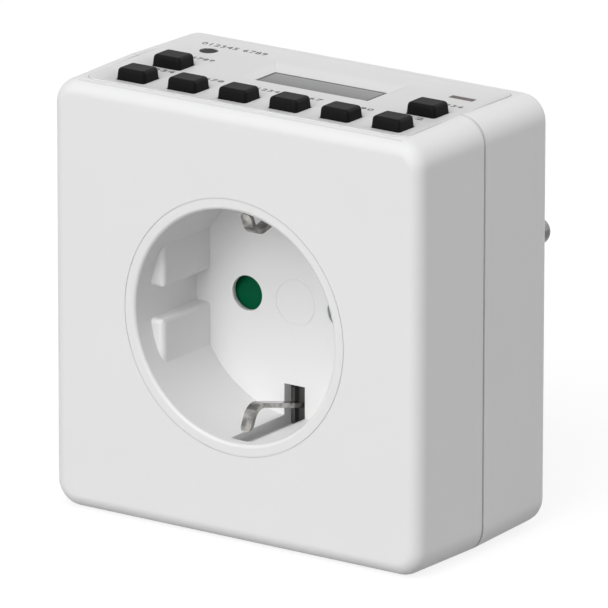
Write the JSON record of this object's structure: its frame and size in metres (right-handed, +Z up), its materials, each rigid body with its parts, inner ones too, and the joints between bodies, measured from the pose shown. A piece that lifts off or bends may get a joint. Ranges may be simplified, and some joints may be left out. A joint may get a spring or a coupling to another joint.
{
  "type": "plug-in timer switch",
  "caption": "Square plug-in digital timer switch: a round earthed socket with side earth clips in front, a sunk keypad panel with a small display on top and an earthed plug behind.",
  "frame": {"origin": "centre of the plug's end face, midway between the pins, where the plug bottoms in a wall socket", "axes": "+Y out of the plug along the pins, towards the wall; the socket recess faces -Y; +Z up, keys on top"},
  "size_m": [0.0734, 0.0765, 0.075],
  "materials": {
    "white_plastic": "smooth satin moulding",
    "panel_plastic": "fine matt",
    "inner_plastic": "natural",
    "green_plastic": "satin",
    "key_rubber": "matt",
    "grey_rubber": "matt",
    "black_plastic": "matt",
    "nickel_contact": "bright nickel plate",
    "nickel_pin": "satin nickel plate",
    "brass_contact": "rolled",
    "zinc_screws": "zinc plate",
    "spring_steel": "drawn wire",
    "battery_steel": "nickel plated can",
    "clear_lens": "clear polish",
    "display_glass": "grey polariser",
    "red_lens": "clear red",
    "circuit_board": "solder mask",
    "relay_case": "moulded",
    "capacitor_case": "moulded",
    "varistor_coat": "dipped",
    "resistor_coat": "dipped",
    "cable_sleeve": "flexible sleeve"
  },
  "bodies": {
    "housing": {"front_housing": "white_plastic", "rear_housing": "white_plastic", "housing_screws": "zinc_screws", "socket_insert": "white_plastic", "insert_screws": "zinc_screws", "shutter_spring": "spring_steel", "contact_carrier": "inner_plastic", "carrier_screws": "zinc_screws", "earth_bridge": "nickel_contact", "upper_plug_earth": "nickel_contact", "lower_plug_earth": "nickel_contact", "line_contact": "brass_contact", "neutral_contact": "brass_contact", "line_link": "brass_contact", "neutral_link": "brass_contact", "switched_link": "brass_contact", "plug_body": "white_plastic", "line_pin": "nickel_pin", "neutral_pin": "nickel_pin", "pin_carrier": "inner_plastic", "control_panel": "panel_plastic", "lcd_window": "clear_lens", "lcd_glass": "display_glass", "lcd_holder": "inner_plastic", "zebra_strips": "grey_rubber", "keypad_mat": "grey_rubber", "reset_switch": "black_plastic", "light_pipe": "red_lens", "status_led": "red_lens", "control_board": "circuit_board", "board_screws": "zinc_screws", "control_chip": "black_plastic", "backup_battery": "battery_steel", "board_headers": "inner_plastic", "ribbon_cable": "cable_sleeve", "power_board": "circuit_board", "relay": "relay_case", "film_capacitor": "capacitor_case", "smoothing_capacitor": "black_plastic", "varistor": "varistor_coat", "rectifier_diodes": "black_plastic", "dropper_resistors": "resistor_coat"},
    "shutter": {"shutter": "green_plastic"},
    "upper_clip": {"upper_earth_clip": "nickel_contact"},
    "lower_clip": {"lower_earth_clip": "nickel_contact"},
    "reset": {"reset_button": "black_plastic"},
    "front_key_1": {"front_key_1": "key_rubber"},
    "front_key_2": {"front_key_2": "key_rubber"},
    "front_key_3": {"front_key_3": "key_rubber"},
    "front_key_4": {"front_key_4": "key_rubber"},
    "front_key_5": {"front_key_5": "key_rubber"},
    "front_key_6": {"front_key_6": "key_rubber"},
    "rear_key_left": {"rear_key_left": "key_rubber"},
    "rear_key_right": {"rear_key_right": "key_rubber"}
  },
  "joints": [
    {"name": "shutter_turn", "type": "hinge", "parent": "housing", "child": "shutter", "pos_m": [0, -0.03655, 0], "axis": [0, -1, 0], "range_deg": [0, 42], "stiffness_Nm_per_rad": 0.003, "springref_deg": -11.46},
    {"name": "upper_clip_flex", "type": "hinge", "parent": "housing", "child": "upper_clip", "pos_m": [0, -0.03695, 0.01828], "axis": [-1, 0, 0], "range_deg": [0, 8], "stiffness_Nm_per_rad": 0.5, "springref_deg": -1.15},
    {"name": "lower_clip_flex", "type": "hinge", "parent": "housing", "child": "lower_clip", "pos_m": [0, -0.03695, -0.01828], "axis": [1, 0, 0], "range_deg": [0, 8], "stiffness_Nm_per_rad": 0.5, "springref_deg": -1.15},
    {"name": "reset_press", "type": "slide", "parent": "housing", "child": "reset", "axis": [0, 0, -1], "range_m": [0, 0.0004], "stiffness_N_per_m": 900, "springref_m": -0.0003},
    {"name": "front_key_1_press", "type": "slide", "parent": "housing", "child": "front_key_1", "axis": [0, 0, -1], "range_m": [0, 0.0008], "stiffness_N_per_m": 700, "springref_m": -0.0003},
    {"name": "front_key_2_press", "type": "slide", "parent": "housing", "child": "front_key_2", "axis": [0, 0, -1], "range_m": [0, 0.0008], "stiffness_N_per_m": 700, "springref_m": -0.0003},
    {"name": "front_key_3_press", "type": "slide", "parent": "housing", "child": "front_key_3", "axis": [0, 0, -1], "range_m": [0, 0.0008], "stiffness_N_per_m": 700, "springref_m": -0.0003},
    {"name": "front_key_4_press", "type": "slide", "parent": "housing", "child": "front_key_4", "axis": [0, 0, -1], "range_m": [0, 0.0008], "stiffness_N_per_m": 700, "springref_m": -0.0003},
    {"name": "front_key_5_press", "type": "slide", "parent": "housing", "child": "front_key_5", "axis": [0, 0, -1], "range_m": [0, 0.0008], "stiffness_N_per_m": 700, "springref_m": -0.0003},
    {"name": "front_key_6_press", "type": "slide", "parent": "housing", "child": "front_key_6", "axis": [0, 0, -1], "range_m": [0, 0.0008], "stiffness_N_per_m": 700, "springref_m": -0.0003},
    {"name": "rear_key_left_press", "type": "slide", "parent": "housing", "child": "rear_key_left", "axis": [0, 0, -1], "range_m": [0, 0.0008], "stiffness_N_per_m": 700, "springref_m": -0.0003},
    {"name": "rear_key_right_press", "type": "slide", "parent": "housing", "child": "rear_key_right", "axis": [0, 0, -1], "range_m": [0, 0.0008], "stiffness_N_per_m": 700, "springref_m": -0.0003}
  ]
}
